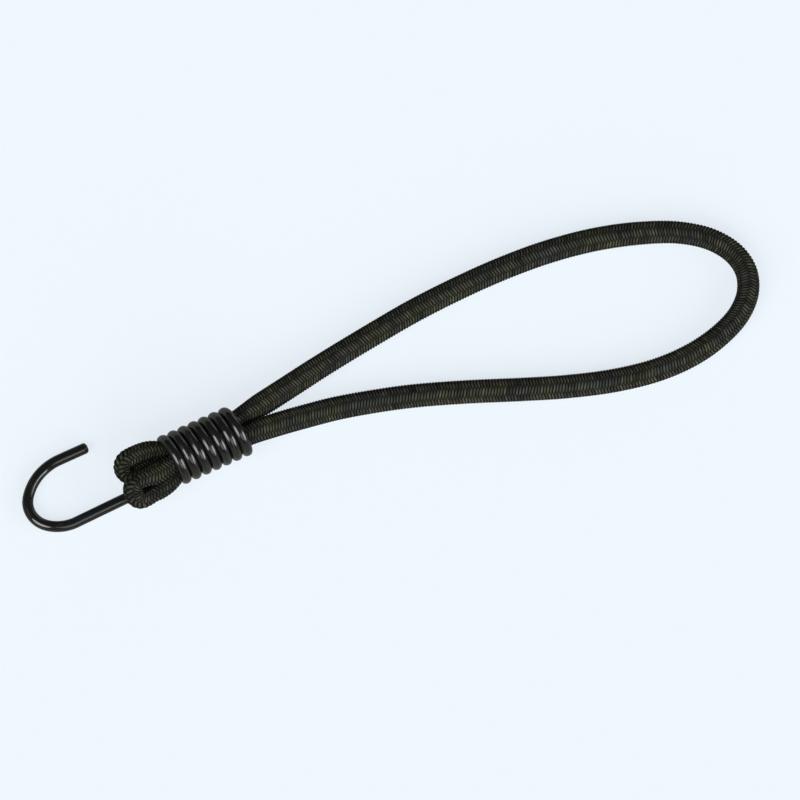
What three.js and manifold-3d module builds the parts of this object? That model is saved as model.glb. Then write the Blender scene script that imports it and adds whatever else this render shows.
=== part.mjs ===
// An elastic bungee loop with a wire hook, lying on a table.
//
// One length of braided elastic cord is folded into a long teardrop loop. Both of its
// ends pass through a close winding of steel wire, fold back on themselves and go in
// again, so that four runs of cord fill the winding. The same wire carries on as a
// shank and an open hook. The cord is a braided cover over a core of rubber threads.
//
// Millimetres, +Z up, the table is z = 0. The winding's axis runs along +X, from the
// hook towards the loop, and the hook opens towards +Y.

import * as THREE from 'three';
import { mergeVertices } from 'three/addons/utils/BufferGeometryUtils.js';
import Module from 'manifold-3d';

// Driving dimensions of the wire
const wireDiameter = 3.4;
const windingDiameter = 18.1;
const windingTurns = 7;
const turnGap = 0.43;
const windingFlat = 0.5;
const entryBendRadius = 4.5;
const shankLength = 36.3;
const shankSplay = 0.8;
const heelRadius = 8.6;
const crownRadius = 14.3;
const tipLength = 13.6;
const tipChamfer = 0.45;
const windingCentre = new THREE.Vector2(24.72, -5.05);

// Driving dimensions of the cord
const cordDiameter = 8;
const coverWallShare = 0.3;
const coreClearance = 0.3;
const seamGap = 0.3;
const restClearance = 0.3;

// Places along the winding's axis, measured from the winding's centre
const tailEnd = 7;
const roundAgainAt = 22.6;
const flareFrom = -13;
const foldFrom = -21;
const mouthSeam = 14.8;
const neckSeam = 64.8;
const bightSeam = 165;

// How the two ends fold back. Angles run from +Y over the top, seen from the loop.
// The places are shares of the cord's diameter, from the winding's axis.
const backEnd = {
  legAngle: 20,
  tailAngle: 290,
  turnX: -24.1,
  radiusShare: 0.4875,
  centreShares: [0.65, 0.09],
  turnAngle: 98,
};
const frontEnd = {
  legAngle: 200,
  tailAngle: 110,
  turnX: -26,
  radiusShare: 0.3625,
  centreShares: [-0.735, 0.28],
  turnAngle: 227,
};

// Facets
const stepsPerTurn = 24;
const windingSides = 6;
const hookSides = 12;
const coverSides = 12;
const coreSides = 8;
const bendSteps = 6;
const crownSteps = 9;
const heelSteps = 8;
const shankSteps = 3;
const flareSteps = 3;
const endSteps = 38;
const neckSteps = 10;
const legSteps = 9;
const bightSteps = 18;
const slicesPerPoint = 40;

// Sizes that follow
const wireRadius = wireDiameter / 2;
const cordRadius = cordDiameter / 2;
const axisHeight = windingDiameter / 2 - windingFlat;
const coilRadius = windingDiameter / 2 - wireRadius;
const pitch = wireDiameter + turnGap;
const boreRadius = coilRadius - wireRadius - restClearance;
const strandRadius = (boreRadius - restClearance / Math.SQRT2) / (1 + Math.SQRT2);
const strandOffset = boreRadius - strandRadius;
const windingStart = windingCentre.x - (windingTurns * pitch) / 2;

// The free cord's centre line, from the winding's mouth round the loop and back to it.
const loopRoute = [
  [35.1, -2.1, 9.4],
  [37.2, -1.6, 9.3],
  [39.9, -0.9, 8.9],
  [43.6, -0.1, 8.2],
  [49.4, 0.9, 7.1],
  [60, 3, 5.2],
  [70.5, 5.1, 3.9],
  [82.5, 7, 3.2],
  [95.5, 8.8, 3.2],
  [111.5, 10.4, 3.2],
  [128, 11.2, 3.2],
  [144.5, 11.2, 3.2],
  [161.5, 9.8, 3.2],
  [178.5, 6.8, 3.2],
  [193.5, 2, 3.2],
  [205.5, -3.7, 3.2],
  [214.2, -11, 3.2],
  [219, -19, 3.2],
  [219.5, -26.5, 3.2],
  [216.6, -33.4, 3.2],
  [211, -39, 3.2],
  [203, -43, 3.2],
  [191.5, -45.6, 3.2],
  [177.5, -45.5, 3.2],
  [162, -42.6, 3.2],
  [145.5, -37.2, 3.2],
  [131.5, -31.5, 3.2],
  [114.5, -24.2, 3.2],
  [97, -17.6, 3.2],
  [82.5, -13.1, 3.2],
  [71, -10.5, 3.9],
  [60, -9, 5.2],
  [50, -8.2, 7],
  [43.6, -7.8, 7.9],
  [39.9, -7.6, 8.1],
  [37.2, -7.6, 8.1],
  [35.1, -7.7, 8],
];

const wasm = await Module();
wasm.setup();

// A closed mesh as a solid that can be cut, and back again
function toSolid(geometry) {
  const bare = geometry.clone();
  bare.deleteAttribute('normal');
  bare.deleteAttribute('uv');
  const merged = mergeVertices(bare);
  const vertProperties = new Float32Array(merged.attributes.position.array);
  const triVerts = new Uint32Array(merged.index.array);
  return new wasm.Manifold(new wasm.Mesh({ numProp: 3, vertProperties, triVerts }));
}

function toGeometry(solid) {
  const mesh = solid.getMesh();
  const geometry = new THREE.BufferGeometry();
  geometry.setAttribute('position', new THREE.BufferAttribute(mesh.vertProperties, mesh.numProp));
  geometry.setIndex(new THREE.BufferAttribute(mesh.triVerts, 1));
  return geometry;
}

// Takes off whatever would sink below the table, which leaves a flat to rest on.
function restFlat(geometry) {
  const box = new THREE.Box3().setFromBufferAttribute(geometry.attributes.position);
  const size = box.getSize(new THREE.Vector3());
  const centre = box.getCenter(new THREE.Vector3());
  const depth = windingDiameter;
  const table = new THREE.BoxGeometry(size.x + cordDiameter, size.y + cordDiameter, depth);
  table.translate(centre.x, centre.y, -depth / 2);
  return toGeometry(toSolid(geometry).subtract(toSolid(table)));
}

// Frames along a line of points, carried on without twist
function framesAlong(points, tangents) {
  const frames = [];
  let normal = new THREE.Vector3(0, 0, 1);
  points.forEach((point, i) => {
    const tangent = tangents[i];
    if (i > 0) {
      const turn = new THREE.Quaternion().setFromUnitVectors(tangents[i - 1], tangent);
      normal = normal.clone().applyQuaternion(turn);
    }
    normal.addScaledVector(tangent, -normal.dot(tangent)).normalize();
    const binormal = new THREE.Vector3().crossVectors(tangent, normal);
    frames.push({ point, normal, binormal });
  });
  return frames;
}

// A closed tube with a radius of its own at each frame, and a bore if it is given one.
// Two rings are zipped together by their angles, so they may differ in their sides.
function tube(frames, radii, sides, boreRadii = null, boreSides = 0) {
  const positions = [];
  const index = [];

  function ring(frame, radius, count) {
    const first = positions.length / 3;
    for (let k = 0; k < count; k += 1) {
      const angle = (2 * Math.PI * k) / count;
      const p = frame.point.clone();
      p.addScaledVector(frame.normal, radius * Math.cos(angle));
      p.addScaledVector(frame.binormal, radius * Math.sin(angle));
      positions.push(p.x, p.y, p.z);
    }
    return { first, count };
  }

  function zip(a, b, inward) {
    let i = 0;
    let j = 0;
    while (i < a.count || j < b.count) {
      const onA = a.first + (i % a.count);
      const onB = b.first + (j % b.count);
      let corner;
      if (i < a.count && (i + 1) / a.count <= (j + 1) / b.count) {
        i += 1;
        corner = [onA, a.first + (i % a.count), onB];
      } else {
        j += 1;
        corner = [onA, b.first + (j % b.count), onB];
      }
      index.push(...(inward ? corner.reverse() : corner));
    }
  }

  function cap(disc, atStart) {
    for (let k = 1; k < disc.count - 1; k += 1) {
      const corner = [disc.first, disc.first + k, disc.first + k + 1];
      index.push(...(atStart ? corner.reverse() : corner));
    }
  }

  const outer = frames.map((frame, i) => ring(frame, radii[i], sides[i]));
  const last = frames.length - 1;
  for (let i = 0; i < last; i += 1) zip(outer[i], outer[i + 1], false);
  if (boreRadii) {
    const inner = frames.map((frame, i) => ring(frame, boreRadii[i], boreSides));
    for (let i = 0; i < last; i += 1) zip(inner[i], inner[i + 1], true);
    zip(outer[0], inner[0], true);
    zip(outer[last], inner[last], false);
  } else {
    cap(outer[0], true);
    cap(outer[last], false);
  }
  const geometry = new THREE.BufferGeometry();
  geometry.setAttribute('position', new THREE.Float32BufferAttribute(positions, 3));
  geometry.setIndex(index);
  return geometry;
}

// A point on the winding's cylinder, at an angle from +Y over the top
function aroundAxis(x, radius, angle) {
  return new THREE.Vector3(
    x,
    windingCentre.y + radius * Math.cos(angle),
    axisHeight + radius * Math.sin(angle),
  );
}

// The wire's centre line: tip, crown, heel, shank, entry bend and winding
function wireLine() {
  const shankAngle = Math.asin((wireRadius - axisHeight) / coilRadius);
  const onShank = -Math.PI - shankAngle;
  const slope = Math.atan(pitch / (2 * Math.PI * coilRadius));
  const bend = Math.PI / 2 - slope;
  const bendStart = windingStart - entryBendRadius * Math.sin(bend);
  const firstAngle = onShank + (entryBendRadius * (1 - Math.cos(bend))) / coilRadius;

  const entry = aroundAxis(bendStart, coilRadius, onShank);
  const heelX = bendStart - shankLength;
  const shankY = entry.y - shankSplay;
  const middleY = shankY + heelRadius;
  const crownX = heelX - heelRadius + crownRadius;
  const tipY = middleY + crownRadius;

  const hook = [];
  hook.push(new THREE.Vector3(crownX + tipLength, tipY, wireRadius));
  hook.push(new THREE.Vector3(crownX + tipLength - tipChamfer, tipY, wireRadius));
  for (let k = 0; k <= crownSteps; k += 1) {
    const angle = Math.PI / 2 + (Math.PI / 2) * (k / crownSteps);
    const x = crownX + crownRadius * Math.cos(angle);
    hook.push(new THREE.Vector3(x, middleY + crownRadius * Math.sin(angle), wireRadius));
  }
  for (let k = 1; k <= heelSteps; k += 1) {
    const angle = Math.PI + (Math.PI / 2) * (k / heelSteps);
    const x = heelX + heelRadius * Math.cos(angle);
    hook.push(new THREE.Vector3(x, middleY + heelRadius * Math.sin(angle), wireRadius));
  }
  for (let k = 1; k <= shankSteps; k += 1) {
    const share = k / shankSteps;
    const y = THREE.MathUtils.lerp(shankY, entry.y, share);
    hook.push(new THREE.Vector3(heelX + shankLength * share, y, wireRadius));
  }
  for (let k = 1; k < bendSteps; k += 1) {
    const turned = bend * (k / bendSteps);
    const x = bendStart + entryBendRadius * Math.sin(turned);
    const round = (entryBendRadius * (1 - Math.cos(turned))) / coilRadius;
    hook.push(aroundAxis(x, coilRadius, onShank + round));
  }

  const winding = [];
  for (let k = 0; k <= windingTurns * stepsPerTurn; k += 1) {
    const turns = k / stepsPerTurn;
    const x = windingStart + pitch * turns;
    winding.push(aroundAxis(x, coilRadius, firstAngle + 2 * Math.PI * turns));
  }
  return { hook, winding };
}

// The least gap between one turn of the winding and the next, measured on its points
function leastTurnGap(winding) {
  let least = Infinity;
  winding.forEach((a, i) => {
    for (let j = i + stepsPerTurn / 2; j < winding.length; j += 1) {
      least = Math.min(least, a.distanceTo(winding[j]) - wireDiameter);
    }
  });
  return least;
}

function hookWire() {
  const { hook, winding } = wireLine();
  const points = [...hook, ...winding];
  const tangents = points.map((point, i) => {
    const ahead = points[Math.min(i + 1, points.length - 1)];
    const behind = points[Math.max(i - 1, 0)];
    return new THREE.Vector3().subVectors(ahead, behind).normalize();
  });
  const sides = points.map((point, i) => (i < hook.length ? hookSides : windingSides));
  const radii = points.map((point, i) => (i === 0 ? wireRadius - tipChamfer : wireRadius));
  console.log(`least gap between the winding's turns: ${leastTurnGap(winding).toFixed(2)} mm`);
  return restFlat(tube(framesAlong(points, tangents), radii, sides));
}

// One end of the cord, from the winding's mouth back through the fold to the tail
function endRoute(end) {
  const turnRadius = end.radiusShare * cordDiameter + restClearance;
  const turnAngle = THREE.MathUtils.degToRad(end.turnAngle);
  const centre = new THREE.Vector2(...end.centreShares).multiplyScalar(cordDiameter);

  function onFold(x, sideways) {
    const y = windingCentre.y + centre.x + sideways * Math.cos(turnAngle);
    const z = axisHeight + centre.y + sideways * Math.sin(turnAngle);
    return new THREE.Vector3(windingCentre.x + x, y, z);
  }

  function onRun(x, degrees, sideways) {
    const inBore = aroundAxis(windingCentre.x + x, strandOffset, THREE.MathUtils.degToRad(degrees));
    const spread = THREE.MathUtils.smoothstep(-x, -flareFrom, -foldFrom);
    return inBore.lerp(onFold(x, sideways), spread);
  }

  const stops = [tailEnd, 0, flareFrom / 2, flareFrom];
  for (let k = 1; k <= flareSteps; k += 1) {
    stops.push(THREE.MathUtils.lerp(flareFrom, foldFrom, k / flareSteps));
  }
  const legSide = stops.map((x) => onRun(x, end.legAngle, turnRadius));
  const tailSide = stops.map((x) => onRun(x, end.tailAngle, -turnRadius)).reverse();
  const fold = [];
  for (let k = 0; k <= bendSteps; k += 1) {
    const angle = Math.PI * (k / bendSteps);
    fold.push(onFold(end.turnX - turnRadius * Math.sin(angle), turnRadius * Math.cos(angle)));
  }
  return [...legSide, ...fold, ...tailSide];
}

// The whole cord on one smooth curve, from the back end's tail to the front end's
const loopPoints = loopRoute.map(([x, y, z]) => new THREE.Vector3(x, y, z));
const cordPoints = [...endRoute(backEnd).reverse(), ...loopPoints, ...endRoute(frontEnd)];
const cordRoute = new THREE.CatmullRomCurve3(cordPoints, false, 'centripetal');

// Where the cord crosses a plane across the winding's axis, going out and coming back
function crossings(x) {
  const plane = windingCentre.x + x;
  const slices = slicesPerPoint * cordPoints.length;
  const found = [];
  for (let k = 0; k < slices; k += 1) {
    const here = cordRoute.getPoint(k / slices).x - plane;
    const next = cordRoute.getPoint((k + 1) / slices).x - plane;
    if (here * next < 0) found.push((k + here / (here - next)) / slices);
  }
  return { out: found[0], back: found[found.length - 1] };
}

// A stretch of the cord between two of its places
class Stretch extends THREE.Curve {
  constructor(from, to) {
    super();
    this.from = from;
    this.to = to;
  }

  getPoint(t, target = new THREE.Vector3()) {
    return cordRoute.getPoint(THREE.MathUtils.lerp(this.from, this.to, t), target);
  }
}

// The cord's radius: squeezed in the winding, and round again outside it
function radiusAt(point, foldRadius) {
  const x = point.x - windingCentre.x;
  if (x > 0) {
    const swollen = THREE.MathUtils.smoothstep(x, tailEnd, roundAgainAt);
    return THREE.MathUtils.lerp(strandRadius, cordRadius, swollen);
  }
  const swollen = THREE.MathUtils.smoothstep(-x, -flareFrom, -foldFrom);
  return THREE.MathUtils.lerp(strandRadius, foldRadius, swollen);
}

// Cover and core of a stretch that swells or is squeezed along its way
function swellingStretch(stretch, steps, foldRadius = cordRadius) {
  const shares = Array.from({ length: steps + 1 }, (unused, i) => i / steps);
  const points = shares.map((t) => stretch.getPoint(t));
  const frames = framesAlong(points, shares.map((t) => stretch.getTangent(t)));
  const radii = points.map((point) => radiusAt(point, foldRadius));
  const bores = radii.map((radius) => radius * (1 - coverWallShare));
  const cores = bores.map((radius) => radius - coreClearance);
  const sides = radii.map(() => coverSides);
  const cover = tube(frames, radii, sides, bores, coreSides);
  const core = tube(frames, cores, radii.map(() => coreSides));
  return { cover, core };
}

function circlePoints(radius, sides) {
  return Array.from({ length: sides }, (unused, k) => {
    const angle = (2 * Math.PI * k) / sides;
    return new THREE.Vector2(radius * Math.cos(angle), radius * Math.sin(angle));
  });
}

// Cover and core of a stretch that is round all the way and lies on the table
function roundStretch(stretch, steps) {
  const bore = cordRadius * (1 - coverWallShare);
  const path = { steps, extrudePath: stretch, bevelEnabled: false };
  const ring = new THREE.Shape(circlePoints(cordRadius, coverSides));
  ring.holes.push(new THREE.Path(circlePoints(bore, coreSides)));
  const disc = new THREE.Shape(circlePoints(bore - coreClearance, coreSides));
  const cover = new THREE.ExtrudeGeometry(ring, path);
  const core = new THREE.ExtrudeGeometry(disc, path);
  return { cover, core };
}

const coverMaterial = new THREE.MeshStandardMaterial({ color: '#2b2c26', roughness: 0.9, metalness: 0 });
const coreMaterial = new THREE.MeshStandardMaterial({ color: '#b99a6b', roughness: 0.75, metalness: 0 });
const wireMaterial = new THREE.MeshStandardMaterial({ color: '#0c0c0d', roughness: 0.25, metalness: 0.4 });

const bungee = new THREE.Group();

function addMesh(name, geometry, material) {
  geometry.computeVertexNormals();
  const mesh = new THREE.Mesh(geometry, material);
  mesh.name = name;
  bungee.add(mesh);
}

function addCord(name, { cover, core }) {
  addMesh(`${name}_cover`, restFlat(cover), coverMaterial);
  addMesh(`${name}_core`, core, coreMaterial);
}

const halfSeam = seamGap / 2;
const mouthInner = crossings(mouthSeam - halfSeam);
const mouthOuter = crossings(mouthSeam + halfSeam);
const neckInner = crossings(neckSeam - halfSeam);
const neckOuter = crossings(neckSeam + halfSeam);
const bightInner = crossings(bightSeam - halfSeam);
const bightOuter = crossings(bightSeam + halfSeam);
const backFold = backEnd.radiusShare * cordDiameter;
const frontFold = frontEnd.radiusShare * cordDiameter;

addMesh('hook_wire', hookWire(), wireMaterial);
addCord('back_end', swellingStretch(new Stretch(0, mouthInner.out), endSteps, backFold));
addCord('front_end', swellingStretch(new Stretch(mouthInner.back, 1), endSteps, frontFold));
addCord('back_neck', swellingStretch(new Stretch(mouthOuter.out, neckInner.out), neckSteps));
addCord('front_neck', swellingStretch(new Stretch(neckInner.back, mouthOuter.back), neckSteps));
addCord('back_leg', roundStretch(new Stretch(neckOuter.out, bightInner.out), legSteps));
addCord('front_leg', roundStretch(new Stretch(bightInner.back, neckOuter.back), legSteps));
addCord('bight', roundStretch(new Stretch(bightOuter.out, bightOuter.back), bightSteps));

const freeLength = new Stretch(mouthOuter.out, mouthOuter.back).getLength();
console.log(`free cord in the loop: ${freeLength.toFixed(0)} mm`);
console.log(`whole cord: ${cordRoute.getLength().toFixed(0)} mm`);

export default bungee;
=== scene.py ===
# %% [markdown]
# # An elastic bungee loop with a wire hook
#
# The real object is made of two lengths of stock. One is elastic cord: a bundle of
# rubber threads inside a tightly braided cover. The other is black-coated steel wire,
# bent into a hook at one end and wound round the cord's two ends at the other. This
# lesson dresses a finished construction model of it: the construction model says where
# everything is and what moves, and the script makes what the eye sees.

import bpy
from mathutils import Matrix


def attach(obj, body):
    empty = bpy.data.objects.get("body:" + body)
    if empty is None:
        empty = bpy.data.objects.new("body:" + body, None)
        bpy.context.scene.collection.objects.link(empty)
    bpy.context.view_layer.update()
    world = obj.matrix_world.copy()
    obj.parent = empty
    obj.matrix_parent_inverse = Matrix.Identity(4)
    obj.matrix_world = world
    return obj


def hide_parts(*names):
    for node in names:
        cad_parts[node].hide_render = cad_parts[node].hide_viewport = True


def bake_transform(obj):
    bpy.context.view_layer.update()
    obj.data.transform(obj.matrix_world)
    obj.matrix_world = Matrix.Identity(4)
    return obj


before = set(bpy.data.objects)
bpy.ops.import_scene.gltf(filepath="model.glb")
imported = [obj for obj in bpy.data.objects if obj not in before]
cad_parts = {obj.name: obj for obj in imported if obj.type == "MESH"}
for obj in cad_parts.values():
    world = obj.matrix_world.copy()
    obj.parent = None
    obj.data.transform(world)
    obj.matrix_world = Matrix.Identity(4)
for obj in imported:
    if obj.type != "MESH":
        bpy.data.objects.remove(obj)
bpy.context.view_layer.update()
print("nodes:", sorted(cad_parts))

# %% Blender's modules
import math

import bmesh
import bpy
import numpy as np
from mathutils import Matrix, Vector

MM = 0.001

# %% [markdown]
# ## The camera
#
# The photo was taken from far off with a long lens, looking steeply down, so there is
# hardly any perspective. Such a camera is set by four things: the direction it looks in,
# the scale of the picture, one point of the object and the pixel where that point is
# seen. It could be placed by eye, but worked out like this it lands on the pixel.

# %% Place the camera by one known pixel
IMAGE_SIDE = 800
PIXELS_PER_METRE = 2940
CAMERA_DISTANCE = 4.5
CAMERA_AZIMUTH = math.radians(-26)
CAMERA_ELEVATION = math.radians(68)
SENSOR_WIDTH = 36
ANCHOR_POINT = Vector((25.3, -5.05, 0)) * MM
ANCHOR_PIXEL = (205.9, 454.8)


def make_camera():
    """A long lens that sees the anchor point at the anchor pixel."""
    across = Vector((math.cos(CAMERA_AZIMUTH), math.sin(CAMERA_AZIMUTH), 0))
    level = Vector((math.sin(CAMERA_AZIMUTH), -math.cos(CAMERA_AZIMUTH), 0))
    back = level * math.cos(CAMERA_ELEVATION) + Vector((0, 0, math.sin(CAMERA_ELEVATION)))
    up = back.cross(across)
    half_side = IMAGE_SIDE / 2
    middle = ANCHOR_POINT + across * ((half_side - ANCHOR_PIXEL[0]) / PIXELS_PER_METRE)
    middle += up * ((ANCHOR_PIXEL[1] - half_side) / PIXELS_PER_METRE)

    data = bpy.data.cameras.new("camera")
    data.sensor_width = SENSOR_WIDTH
    data.lens = SENSOR_WIDTH * CAMERA_DISTANCE * PIXELS_PER_METRE / IMAGE_SIDE
    camera = bpy.data.objects.new("camera", data)
    turn = Matrix((across, up, back)).transposed().to_4x4()
    camera.matrix_world = Matrix.Translation(middle + back * CAMERA_DISTANCE) @ turn
    bpy.context.scene.collection.objects.link(camera)
    bpy.context.scene.camera = camera
    print("lens:", round(data.lens), "mm, looking at", tuple(round(c, 4) for c in middle))
    return back


seen_from = make_camera()

# %% [markdown]
# ## The cord's route
#
# Round the loop the cord lies where it was dropped, so its line is a list of given points.
# Inside the winding it follows rules: four runs share the bore, two and two joined by a
# fold on the hook's side. One smooth curve goes through all of it, from one cut end to the
# other, and every stretch of cord is later cut from this one curve, so that the braid
# carries on across each seam.

# %% Sizes of the winding and the cord
WINDING_MIDDLE = Vector((24.72, -5.05)) * MM
AXIS_HEIGHT = 8.65 * MM
CORD_RADIUS = 4 * MM
HELD_RADIUS = 2.13 * MM
HELD_OFFSET = 3.22 * MM

# Places along the winding's axis, from its middle
TAIL_END = 7 * MM
MOUTH_FROM = 8 * MM
MOUTH_TO = 13 * MM
MOUTH_SEAM = 14.8 * MM
NECK_SEAM = 64.8 * MM

LOOP_ROUTE = [
    (35.1, -2.1, 9.4), (37.2, -1.6, 9.3), (39.9, -1, 8.9), (43.6, -0.3, 8.2),
    (49.4, 0.75, 7.1), (60, 3, 5.2), (70.5, 5.1, 3.9), (82.5, 7, 3.2),
    (95.5, 8.6, 3.2), (111.5, 10.3, 3.2), (128, 11.1, 3.2), (144.5, 11.1, 3.2),
    (161.5, 9.9, 3.2), (178.5, 6.9, 3.2), (193.6, 2.2, 3.2), (205.8, -3.5, 3.2),
    (214.6, -10.7, 3.2), (219.3, -18.8, 3.2), (220, -26.5, 3.2), (217, -33.6, 3.2),
    (211.1, -39.2, 3.2), (203, -43, 3.2), (191.5, -45.6, 3.2), (177.5, -45.7, 3.2),
    (162, -42.8, 3.2), (145.5, -37.4, 3.2), (131.5, -31.7, 3.2), (114.5, -24.4, 3.2),
    (97, -17.6, 3.2), (82.5, -13.1, 3.2), (71, -10.4, 3.9), (60, -8.9, 5.2),
    (50, -8.05, 7), (43.6, -7.65, 7.9), (39.9, -7.55, 8.1), (37.2, -7.6, 8.1),
    (35.1, -7.7, 8),
]
print("points of the loop:", len(LOOP_ROUTE))

# %% [markdown]
# The two ends leave the winding on the hook's side, fold back on themselves and go in
# again. They begin to swell between the last turns of the wire, where the grip is
# looser, so each run comes out as a cone and the folds are fatter than the winding. Each
# end has one run that leads to the loop, called the leg here, and one that ends in a cut,
# the tail. The back fold lies behind the front one. The front fold isn't drawn quite
# tight: a small dark eye is left inside its bend, where both runs stand a little apart.

# %% The two folded ends
FLARE_STEPS = 4
FOLD_STEPS = 6
BACK_END = {
    "leg_angle": 20, "tail_angle": 290, "flare": (-7.5 * MM, -20.3 * MM),
    "turn_x": -25.1 * MM, "turn_angle": 46, "turn_radius": 3.15 * MM, "eye": 0,
    "centre": (4.2 * MM, 0 * MM),
    "leg_radius": 3.15 * MM, "fold_radius": 3.2 * MM, "tail_radius": 3.2 * MM,
    "mouth_radius": 2.9 * MM, "round_again": (12 * MM, 26 * MM),
}
FRONT_END = {
    "leg_angle": 200, "tail_angle": 110, "flare": (-4.5 * MM, -20.5 * MM),
    "turn_x": -26 * MM, "turn_angle": 216, "turn_radius": 3.1 * MM, "eye": 0.4 * MM,
    "centre": (-5.6 * MM, 1.4 * MM),
    "leg_radius": 2.75 * MM, "fold_radius": 3.35 * MM, "tail_radius": 3.45 * MM,
    "mouth_radius": 3.75 * MM, "round_again": (12 * MM, 24 * MM),
}


def smoothstep(value, low, high):
    share = np.clip((value - low) / (high - low), 0, 1)
    return share * share * (3 - 2 * share)


def flared(x, end):
    """0 where the wire holds the cord, 1 where it has swollen beside the winding."""
    begin, full = end["flare"]
    return smoothstep(-x, -begin, -full)


def end_route(end):
    """From the winding's mouth back through the fold to the cut tail."""
    turn_radius = end["turn_radius"]
    turn = math.radians(end["turn_angle"])

    def on_fold(x, sideways):
        y = WINDING_MIDDLE.y + end["centre"][0] + sideways * math.cos(turn)
        z = AXIS_HEIGHT + end["centre"][1] + sideways * math.sin(turn)
        return Vector((WINDING_MIDDLE.x + x, y, z))

    def on_run(x, angle, sideways):
        around = math.radians(angle)
        y = WINDING_MIDDLE.y + HELD_OFFSET * math.cos(around)
        z = AXIS_HEIGHT + HELD_OFFSET * math.sin(around)
        in_bore = Vector((WINDING_MIDDLE.x + x, y, z))
        return in_bore.lerp(on_fold(x, sideways), float(flared(x, end)))

    begin, full = end["flare"]
    flare_stops = [begin + (full - begin) * k / FLARE_STEPS for k in range(FLARE_STEPS + 1)]
    stops = [TAIL_END, 0] + flare_stops
    leg_side = [on_run(x, end["leg_angle"], turn_radius) for x in stops]
    tail_side = [on_run(x, end["tail_angle"], -turn_radius) for x in reversed(stops)]
    fold = []
    for k in range(FOLD_STEPS + 1):
        angle = math.pi * k / FOLD_STEPS
        x = end["turn_x"] - turn_radius * math.sin(angle)
        fold.append(on_fold(x, (turn_radius + end["eye"]) * math.cos(angle)))
    return leg_side + fold + tail_side


loop_points = [Vector(point) * MM for point in LOOP_ROUTE]
cord_points = end_route(BACK_END)[::-1] + loop_points + end_route(FRONT_END)
print("points of the whole cord:", len(cord_points))

# %% [markdown]
# A smooth curve through points that stand unevenly needs a knot spacing that follows
# their distances, or it overshoots where they are close. A centripetal Catmull-Rom
# curve does that. The curve is then walked in equal small steps, and each step gets a
# frame: the direction along the cord and two directions across it, carried on without
# twist.

# %% One smooth curve in equal steps
RIB_PITCH = 1.05 * MM
STEPS_PER_RIB = 6
STEP = RIB_PITCH / STEPS_PER_RIB


def smooth_curve(points, samples=60):
    """A centripetal Catmull-Rom curve through the points, finely sampled."""
    p = np.array(points, float)
    p = np.vstack([2 * p[0] - p[1], p, 2 * p[-1] - p[-2]])
    t = np.linspace(0, 1, samples, endpoint=False)[:, None]
    pieces = []
    for a, b, c, d in zip(p, p[1:], p[2:], p[3:]):
        ab, bc, cd = (math.sqrt(np.linalg.norm(q)) for q in (b - a, c - b, d - c))
        leave = ((b - a) / ab - (c - a) / (ab + bc) + (c - b) / bc) * bc
        arrive = ((c - b) / bc - (d - b) / (bc + cd) + (d - c) / cd) * bc
        square = -3 * b + 3 * c - 2 * leave - arrive
        cube = 2 * b - 2 * c + leave + arrive
        pieces.append(b + leave * t + square * t**2 + cube * t**3)
    return np.vstack(pieces + [p[-2:-1]])


def equal_steps(line, step):
    lengths = np.concatenate([[0], np.cumsum(np.linalg.norm(np.diff(line, axis=0), axis=1))])
    places = np.linspace(0, lengths[-1], round(lengths[-1] / step) + 1)
    return np.column_stack([np.interp(places, lengths, line[:, k]) for k in range(3)])


def carried_frames(line, first_normal):
    """Tangents, and two directions across, turned along the line without twist."""
    tangents = np.gradient(line, axis=0)
    tangents /= np.linalg.norm(tangents, axis=1)[:, None]
    normals = np.empty_like(line)
    normal = np.array(first_normal, float)
    for k, tangent in enumerate(tangents):
        normal = normal - tangent * normal.dot(tangent)
        normal /= np.linalg.norm(normal)
        normals[k] = normal
    return tangents, normals, np.cross(tangents, normals)


cord_line = equal_steps(smooth_curve(cord_points), STEP)
tangents, normals, binormals = carried_frames(cord_line, (0, 0, 1))
print("whole cord:", round(len(cord_line) * STEP / MM), "mm in", len(cord_line), "steps")

# %% [markdown]
# The frames may still be turned round the cord as a whole. They are turned so that, in
# the middle of the loop's first leg, the frame looks at the camera: the braid shows one
# whole column of its pattern there, as in the photo.

# %% Turn the braid to the camera
LOOKED_AT_X = 111 * MM


def turned_towards(direction, step):
    """The frames, all turned by the angle that brings the normal to this direction."""
    angle = math.atan2(binormals[step].dot(direction), normals[step].dot(direction))
    cosine, sine = math.cos(angle), math.sin(angle)
    return normals * cosine + binormals * sine, binormals * cosine - normals * sine


looked_at = int(np.argmax(cord_line[:, 0] > LOOKED_AT_X))
normals, binormals = turned_towards(seen_from, looked_at)
print("normal that faces the camera:", normals[looked_at].round(2))

# %% [markdown]
# ## How thick the cord is
#
# Outside the winding the cord is 8 mm across. The winding squeezes four runs into its
# bore, and the cord swells again as soon as it is out. A squeezed cord also grows longer,
# which draws the ribs of its braid apart a little, so the ribs are counted along the cord
# with a pitch that follows the radius. Round the far bend it is a trifle thinner.

# %% Radius and rib count along the cord
SQUEEZE_STRETCH = 0.25
BEND_NARROWING = 0.25 * MM
BEND_PLACE = (160 * MM, 188 * MM)


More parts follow.
